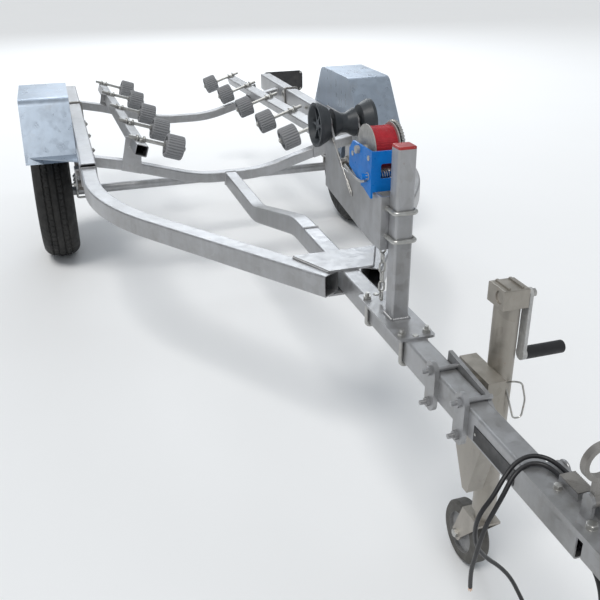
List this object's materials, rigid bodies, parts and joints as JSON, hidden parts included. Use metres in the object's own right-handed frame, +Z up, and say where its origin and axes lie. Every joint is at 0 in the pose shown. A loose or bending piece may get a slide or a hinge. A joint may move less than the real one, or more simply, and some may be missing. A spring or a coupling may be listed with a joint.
{
  "type": "boat trailer",
  "caption": "Roller boat trailer: tubular A-frame, tilted roller beams, leaf-sprung wheels, mudguards, winch post with bow roller, swing-up jockey jack, ball coupling and lamp boards.",
  "frame": {"origin": "middle of the overall box without the cables, at ground level", "axes": "+Y points rearwards, away from the coupling; +X is the trailer's left (port) side; +Z is up"},
  "size_m": [1.8, 4.5952, 1.016],
  "materials": {
    "galvanised": "dull hot-dip galvanised",
    "zinc_plate": "zinc plated",
    "worn_steel": "dull, rust tinted",
    "tyre_rubber": "matt rubber",
    "roller_rubber": "matt rubber",
    "bow_roller_black": "matt rubber",
    "jockey_rubber": "matt, dusty",
    "board_plastic": "matt",
    "lamp_red": "clear red lens",
    "cap_red": "satin",
    "winch_blue": "worn gloss paint",
    "strap_red": "woven strap",
    "cable_black": "smooth sheath"
  },
  "bodies": {
    "frame": {"drawbar": "galvanised", "spine": "galvanised", "side_rail_left": "galvanised", "side_rail_right": "galvanised", "bow_rail_left": "galvanised", "bow_rail_right": "galvanised", "nose_plates": "galvanised", "front_cross_member": "galvanised", "rear_cross_member": "galvanised", "roller_beam_left": "galvanised", "roller_beam_right": "galvanised", "roller_spindles": "zinc_plate", "beam_brackets": "galvanised", "axle": "galvanised", "leaf_springs": "worn_steel", "spring_mounts": "galvanised", "mudguard_left": "galvanised", "mudguard_right": "galvanised", "lamp_boards": "board_plastic", "rear_lamps": "lamp_red", "tie_rings": "galvanised", "winch_post": "galvanised", "post_cap": "cap_red", "post_clamps": "zinc_plate", "winch_bracket": "galvanised", "winch_frame": "winch_blue", "bow_chain": "zinc_plate", "jack_mount": "galvanised", "coupling": "galvanised", "cable_front": "cable_black", "cable_rear": "cable_black", "cable_left": "cable_black", "cable_right": "cable_black"},
    "wheel_left": {"hub_left": "worn_steel", "rim_left": "galvanised", "tyre_left": "tyre_rubber"},
    "wheel_right": {"hub_right": "worn_steel", "rim_right": "galvanised", "tyre_right": "tyre_rubber"},
    "hull_roller_left_1_body": {"hull_roller_left_1": "roller_rubber"},
    "hull_roller_left_2_body": {"hull_roller_left_2": "roller_rubber"},
    "hull_roller_left_3_body": {"hull_roller_left_3": "roller_rubber"},
    "hull_roller_left_4_body": {"hull_roller_left_4": "roller_rubber"},
    "hull_roller_left_5_body": {"hull_roller_left_5": "roller_rubber"},
    "hull_roller_right_1_body": {"hull_roller_right_1": "roller_rubber"},
    "hull_roller_right_2_body": {"hull_roller_right_2": "roller_rubber"},
    "hull_roller_right_3_body": {"hull_roller_right_3": "roller_rubber"},
    "hull_roller_right_4_body": {"hull_roller_right_4": "roller_rubber"},
    "hull_roller_right_5_body": {"hull_roller_right_5": "roller_rubber"},
    "bow_roller_body": {"bow_roller": "bow_roller_black"},
    "winch_drum_body": {"winch_drum": "strap_red"},
    "jack_body_body": {"jack_body": "galvanised"},
    "jack_leg_body": {"jack_leg": "galvanised"},
    "jack_fork_body": {"jack_fork": "galvanised"},
    "jockey_wheel_body": {"jockey_wheel": "jockey_rubber"},
    "jack_crank_body": {"jack_crank": "zinc_plate"},
    "coupling_lever_body": {"coupling_lever": "zinc_plate"}
  },
  "joints": [
    {"name": "wheel_left_spin", "type": "hinge", "parent": "frame", "child": "wheel_left", "pos_m": [0.76, 0.92, 0.3], "axis": [1, 0, 0], "continuous": true},
    {"name": "wheel_right_spin", "type": "hinge", "parent": "frame", "child": "wheel_right", "pos_m": [-0.76, 0.92, 0.3], "axis": [1, 0, 0], "continuous": true},
    {"name": "hull_roller_left_1_spin", "type": "hinge", "parent": "frame", "child": "hull_roller_left_1_body", "pos_m": [0.25035, 0.39272, 0.60102], "axis": [-0.9484, -0.0033, -0.3172], "continuous": true},
    {"name": "hull_roller_left_2_spin", "type": "hinge", "parent": "frame", "child": "hull_roller_left_2_body", "pos_m": [0.25436, 0.80438, 0.58477], "axis": [-0.9484, -0.0033, -0.3172], "continuous": true},
    {"name": "hull_roller_left_3_spin", "type": "hinge", "parent": "frame", "child": "hull_roller_left_3_body", "pos_m": [0.25878, 1.258, 0.56685], "axis": [-0.9484, -0.0033, -0.3172], "continuous": true},
    {"name": "hull_roller_left_4_spin", "type": "hinge", "parent": "frame", "child": "hull_roller_left_4_body", "pos_m": [0.2636, 1.75259, 0.54732], "axis": [-0.9484, -0.0033, -0.3172], "continuous": true},
    {"name": "hull_roller_left_5_spin", "type": "hinge", "parent": "frame", "child": "hull_roller_left_5_body", "pos_m": [0.26824, 2.2292, 0.5285], "axis": [-0.9484, -0.0033, -0.3172], "continuous": true},
    {"name": "hull_roller_right_1_spin", "type": "hinge", "parent": "frame", "child": "hull_roller_right_1_body", "pos_m": [-0.25035, 0.39272, 0.60102], "axis": [0.9484, -0.0033, -0.3172], "continuous": true},
    {"name": "hull_roller_right_2_spin", "type": "hinge", "parent": "frame", "child": "hull_roller_right_2_body", "pos_m": [-0.25436, 0.80438, 0.58477], "axis": [0.9484, -0.0033, -0.3172], "continuous": true},
    {"name": "hull_roller_right_3_spin", "type": "hinge", "parent": "frame", "child": "hull_roller_right_3_body", "pos_m": [-0.25878, 1.258, 0.56685], "axis": [0.9484, -0.0033, -0.3172], "continuous": true},
    {"name": "hull_roller_right_4_spin", "type": "hinge", "parent": "frame", "child": "hull_roller_right_4_body", "pos_m": [-0.2636, 1.75259, 0.54732], "axis": [0.9484, -0.0033, -0.3172], "continuous": true},
    {"name": "hull_roller_right_5_spin", "type": "hinge", "parent": "frame", "child": "hull_roller_right_5_body", "pos_m": [-0.26824, 2.2292, 0.5285], "axis": [0.9484, -0.0033, -0.3172], "continuous": true},
    {"name": "bow_roller_spin", "type": "hinge", "parent": "frame", "child": "bow_roller_body", "pos_m": [0, -0.945, 0.961], "axis": [1, 0, 0], "continuous": true},
    {"name": "winch_drum_spin", "type": "hinge", "parent": "frame", "child": "winch_drum_body", "pos_m": [0, -1.185, 0.955], "axis": [1, 0, 0], "continuous": true},
    {"name": "jack_swing", "type": "hinge", "parent": "frame", "child": "jack_body_body", "pos_m": [0.05, -1.575, 0.545], "axis": [-1, 0, 0], "range_deg": [0, 90]},
    {"name": "jack_extend", "type": "slide", "parent": "jack_body_body", "child": "jack_leg_body", "axis": [0, 0, -1], "range_m": [-0.02, 0.18]},
    {"name": "jack_swivel", "type": "hinge", "parent": "jack_leg_body", "child": "jack_fork_body", "pos_m": [0.125, -1.575, 0.169], "axis": [0, 0, 1], "continuous": true},
    {"name": "jockey_wheel_spin", "type": "hinge", "parent": "jack_fork_body", "child": "jockey_wheel_body", "pos_m": [0.125, -1.515, 0.0775], "axis": [1, 0, 0], "continuous": true},
    {"name": "jack_crank_turn", "type": "hinge", "parent": "jack_body_body", "child": "jack_crank_body", "pos_m": [0.16, -1.588, 0.743], "axis": [1, 0, 0], "continuous": true},
    {"name": "coupling_lever_turn", "type": "hinge", "parent": "frame", "child": "coupling_lever_body", "pos_m": [0, -2.045, 0.63], "axis": [1, 0, 0], "range_deg": [0, 60]}
  ]
}
